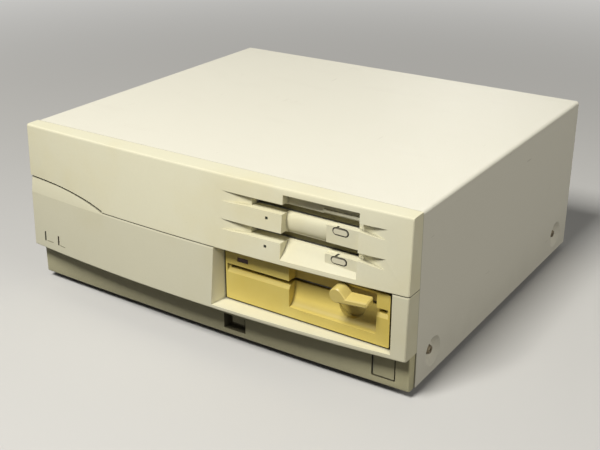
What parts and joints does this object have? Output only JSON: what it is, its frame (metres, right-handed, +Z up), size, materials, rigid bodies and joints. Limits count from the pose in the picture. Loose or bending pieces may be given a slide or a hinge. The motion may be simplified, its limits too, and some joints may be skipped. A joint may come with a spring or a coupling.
{
  "type": "desktop computer",
  "caption": "Flat desktop home computer with a steel cover and a bowed moulded front that carries floppy disk drives, a turning drive lever, power and reset buttons.",
  "frame": {"origin": "centre of the bounding box at the level of the feet's undersides", "axes": "+Z up, +X to the right seen from the front, the moulded front faces -Y"},
  "size_m": [0.38, 0.3451, 0.15],
  "materials": {
    "panel_upper": "fine textured moulding, slightly yellowed with age",
    "panel_lower": "fine textured moulding",
    "button_grey": "smooth moulding",
    "cover_paint": "fine textured powder paint on sheet steel",
    "sheet_steel": "zinc plated sheet",
    "drive_housing": null,
    "foot_rubber": "matt black",
    "yellowed_plastic": "smooth moulding, strongly yellowed with age",
    "lamp_plastic": "tinted lens plastic",
    "black_plastic": "smooth black moulding",
    "board_laminate": "lacquered laminate",
    "aluminium_fins": "satin",
    "battery_case": "satin",
    "cable_grey": "ribbed flat cable"
  },
  "bodies": {
    "case": {"upper_front_panel": "panel_upper", "lower_front_panel": "panel_lower", "plinth_panel": "panel_lower", "top_cover": "cover_paint", "chassis_tray": "sheet_steel", "front_subframe": "sheet_steel", "rear_panel": "sheet_steel", "foot_front_left": "foot_rubber", "foot_front_right": "foot_rubber", "foot_rear_left": "foot_rubber", "foot_rear_right": "foot_rubber", "cover_screw_front_left": "sheet_steel", "cover_screw_rear_left": "sheet_steel", "cover_screw_front_right": "sheet_steel", "cover_screw_rear_right": "sheet_steel", "power_lamp_guide": "lamp_plastic", "disk_lamp_guide": "lamp_plastic", "small_drive_1": "drive_housing", "small_drive_lamp_1": "lamp_plastic", "small_drive_2": "drive_housing", "small_drive_lamp_2": "lamp_plastic", "large_drive": "drive_housing", "large_drive_face": "yellowed_plastic", "large_drive_lamp": "lamp_plastic", "drive_cage": "sheet_steel", "hard_disk": "drive_housing", "hard_disk_bracket": "sheet_steel", "power_supply": "drive_housing", "fan_frame": "black_plastic", "power_inlet": "black_plastic", "power_outlet": "black_plastic", "main_board": "board_laminate", "processor": "black_plastic", "heat_sink": "aluminium_fins", "memory_module_1": "board_laminate", "memory_module_2": "board_laminate", "riser_board": "board_laminate", "slot_cover_1": "sheet_steel", "slot_cover_2": "sheet_steel", "slot_cover_3": "sheet_steel", "keyboard_socket": "black_plastic", "mouse_socket": "black_plastic", "serial_socket": "black_plastic", "printer_socket": "black_plastic", "display_socket": "black_plastic", "sound_jack": "black_plastic", "backup_battery": "battery_case", "speaker": "black_plastic", "drive_cable": "cable_grey", "hard_disk_cable": "cable_grey"},
    "power_key": {"power_button": "panel_lower", "power_switch_rod": "black_plastic"},
    "reset_key": {"reset_button": "panel_lower"},
    "eject_key_1": {"eject_button_1": "button_grey"},
    "eject_key_2": {"eject_button_2": "button_grey"},
    "flap_1": {"small_drive_flap_1": "panel_lower"},
    "flap_2": {"small_drive_flap_2": "panel_lower"},
    "lever": {"large_drive_lever": "yellowed_plastic"},
    "fan_rotor": {"fan_rotor": "black_plastic"}
  },
  "joints": [
    {"name": "power_button_slide", "type": "slide", "parent": "case", "child": "power_key", "axis": [0, 1, 0], "range_m": [0, 0.0035], "stiffness_N_per_m": 400},
    {"name": "reset_button_slide", "type": "slide", "parent": "case", "child": "reset_key", "axis": [0, 1, 0], "range_m": [0, 0.002], "stiffness_N_per_m": 300},
    {"name": "eject_button_1_slide", "type": "slide", "parent": "case", "child": "eject_key_1", "axis": [0, 1, 0], "range_m": [0, 0.0035], "stiffness_N_per_m": 300},
    {"name": "eject_button_2_slide", "type": "slide", "parent": "case", "child": "eject_key_2", "axis": [0, 1, 0], "range_m": [0, 0.0035], "stiffness_N_per_m": 300},
    {"name": "flap_1_hinge", "type": "hinge", "parent": "case", "child": "flap_1", "pos_m": [0.0991, -0.14964, 0.1346], "axis": [1, 0, 0], "range_deg": [0, 80], "stiffness_Nm_per_rad": 0.002},
    {"name": "flap_2_hinge", "type": "hinge", "parent": "case", "child": "flap_2", "pos_m": [0.0991, -0.14964, 0.1121], "axis": [1, 0, 0], "range_deg": [0, 80], "stiffness_Nm_per_rad": 0.002},
    {"name": "drive_lever_turn", "type": "hinge", "parent": "case", "child": "lever", "pos_m": [0.1353, -0.16, 0.0803], "axis": [0, 1, 0], "range_deg": [0, 90]},
    {"name": "fan_spin", "type": "hinge", "parent": "case", "child": "fan_rotor", "pos_m": [0.095, 0.154, 0.052], "axis": [0, 1, 0], "continuous": true}
  ]
}
